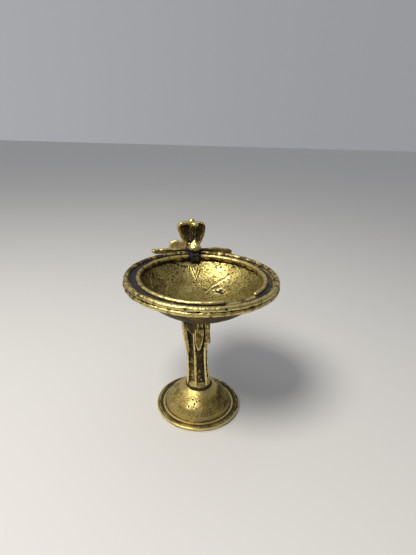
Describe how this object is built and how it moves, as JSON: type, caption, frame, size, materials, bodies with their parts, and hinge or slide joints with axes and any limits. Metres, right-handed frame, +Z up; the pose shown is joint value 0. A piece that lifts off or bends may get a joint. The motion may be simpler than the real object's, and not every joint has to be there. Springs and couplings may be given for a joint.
{
  "type": "diya oil lamp",
  "caption": "Pedestal diya oil lamp in antique brass: domed foot, leaning fluted stem, shallow double-rimmed bowl with a cobra hood, bud and side arms at the back.",
  "frame": {"origin": "centre of the round foot, on the surface that the lamp stands on", "axes": "+Z up along the foot's axis; the cobra hood stands on +Y, so -Y is the front of the bowl; +X to the right seen from the front"},
  "size_m": [0.0828, 0.0993, 0.1051],
  "materials": {
    "foot_brass": "aged cast brass, satin, small casting pits",
    "stem_brass": "aged cast brass, dark patina in the channels, bright worn ridges",
    "leaf_brass": "aged cast brass, dark where it joins",
    "bowl_brass": "olive-gold cast brass, crinkled, dark oil stains",
    "rim_brass": "cast brass, bright on the crests, dark in the channel",
    "hood_brass": "cast brass, dark inside, bright on the rim",
    "bud_brass": "cast brass, rubbed bright",
    "arm_brass": "aged cast brass",
    "tail_brass": "aged cast brass"
  },
  "bodies": {
    "root": {"arm_left": "arm_brass", "arm_left_knob": "arm_brass", "arm_right": "arm_brass", "bowl_shell": "bowl_brass", "bud": "bud_brass", "calyx_leaf_back_left": "leaf_brass", "calyx_leaf_back_right": "leaf_brass", "calyx_leaf_front": "leaf_brass", "calyx_leaf_front_left": "leaf_brass", "calyx_leaf_left": "leaf_brass", "calyx_leaf_right": "leaf_brass", "calyx_rod": "leaf_brass", "chevron_inner": "bowl_brass", "chevron_outer": "bowl_brass", "cobra_head": "hood_brass", "crest_knob": "hood_brass", "foot_collar": "foot_brass", "foot_dome": "foot_brass", "foot_edge_wire": "foot_brass", "foot_plate": "foot_brass", "foot_step_ring": "foot_brass", "hood_neck": "hood_brass", "hood_rim": "hood_brass", "hood_shell": "hood_brass", "hood_throat": "hood_brass", "inner_ring": "rim_brass", "rim_band": "rim_brass", "rim_channel": "rim_brass", "rim_lip": "rim_brass", "stem_core": "stem_brass", "stem_ridge_1": "stem_brass", "stem_ridge_2": "stem_brass", "stem_ridge_3": "stem_brass", "stem_ridge_4": "stem_brass", "stem_ridge_5": "stem_brass", "stem_ridge_6": "stem_brass", "tail": "tail_brass", "tail_leaf": "tail_brass", "tongue": "rim_brass"}
  },
  "joints": []
}
